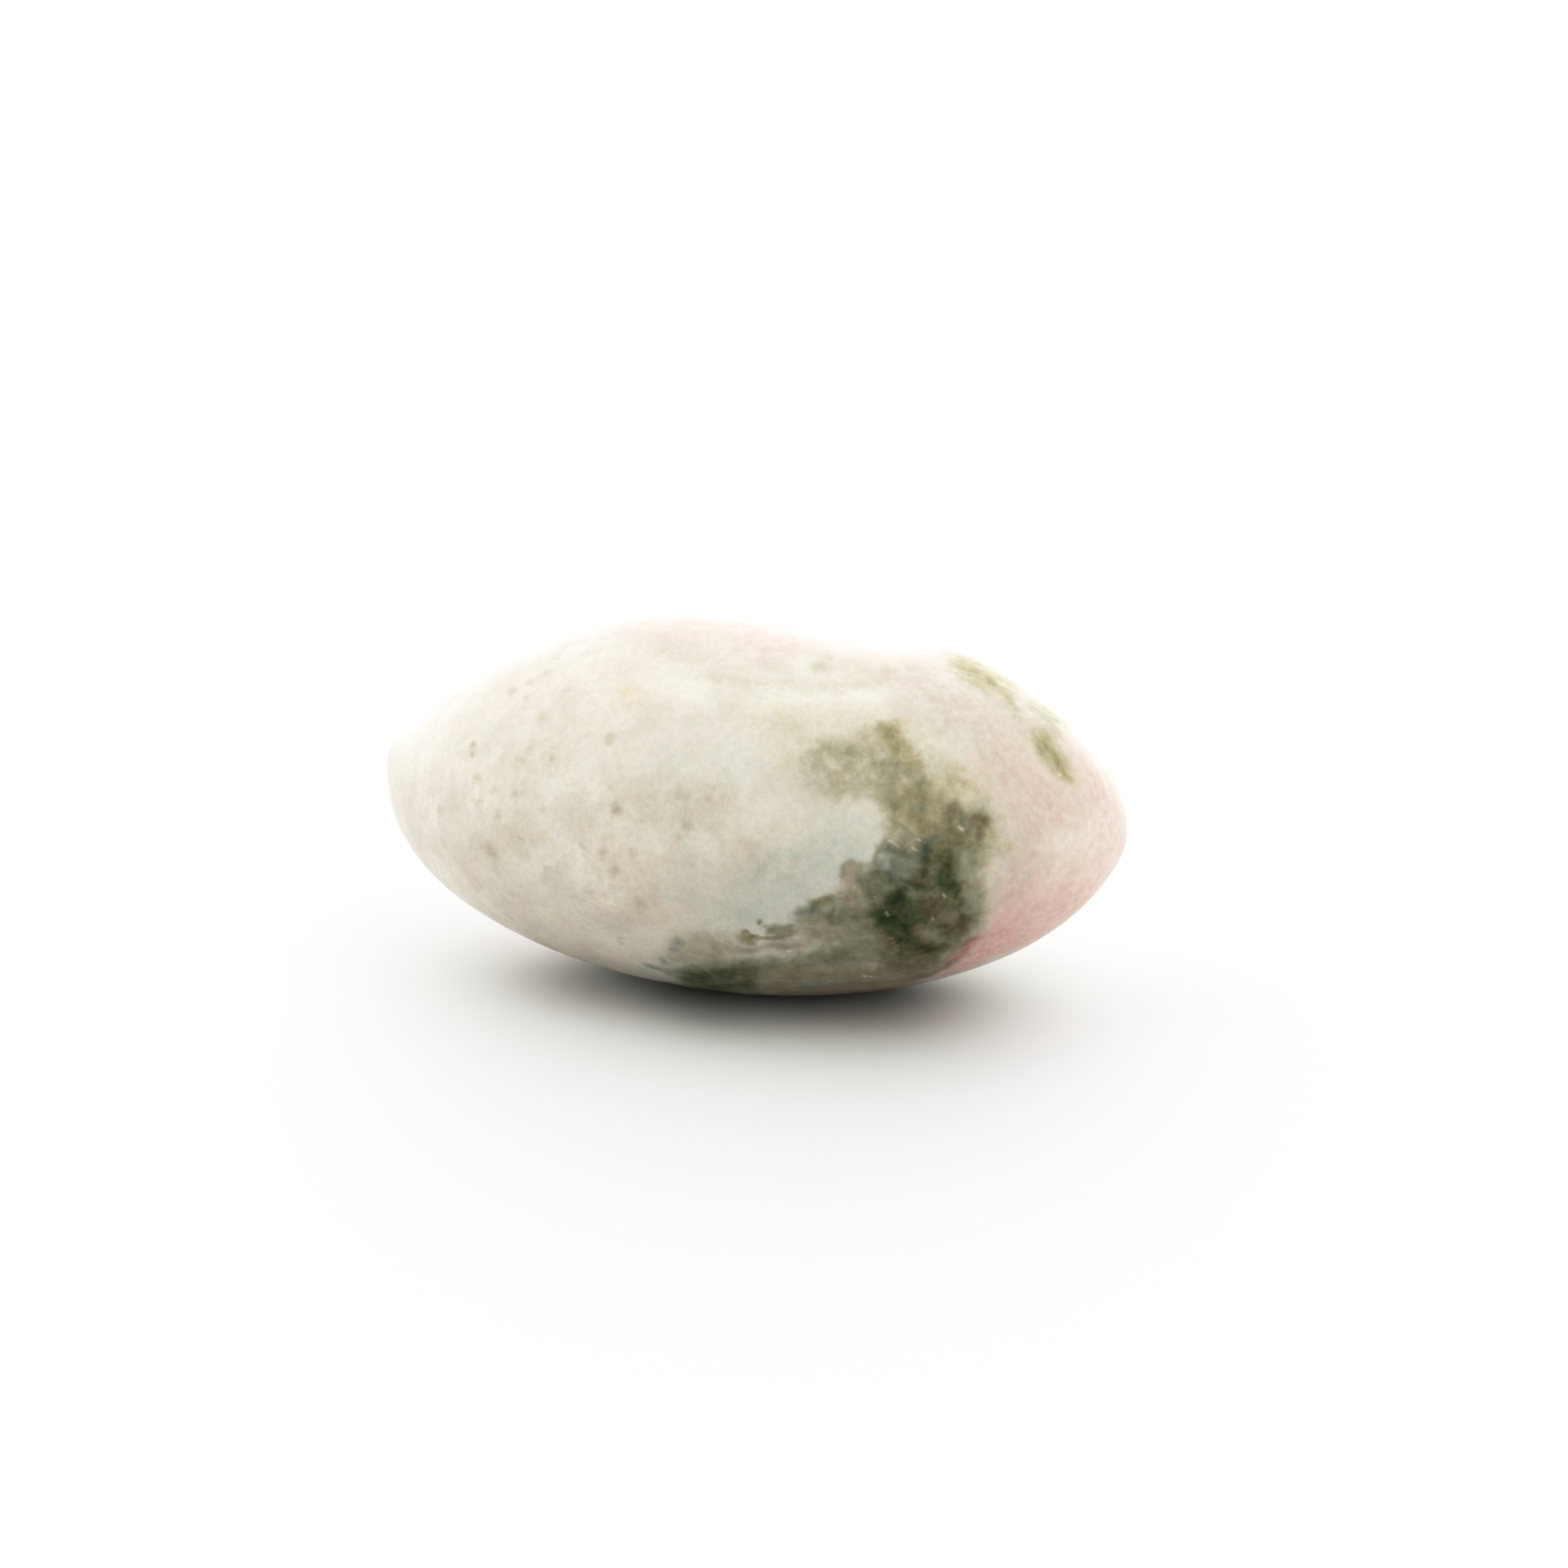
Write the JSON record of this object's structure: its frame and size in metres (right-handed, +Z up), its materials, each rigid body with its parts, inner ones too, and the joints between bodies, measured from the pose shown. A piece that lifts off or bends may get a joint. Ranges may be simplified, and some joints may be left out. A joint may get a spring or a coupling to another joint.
{
  "type": "tumbled tugtupite stone",
  "caption": "Tumbled, polished tugtupite pebble: an egg-shaped creamy white stone with pink zones and mottled olive-green patches.",
  "frame": {"origin": "on the surface the stone lies on, under the middle of its bounding box", "axes": "+Z up; +X along the stone's length, towards its lower, pinker end; -Y is the pictured face"},
  "size_m": [0.034, 0.021, 0.0175],
  "materials": {
    "stone": "polished"
  },
  "bodies": {
    "root": {"tugtupite_pebble": "stone"}
  },
  "joints": []
}
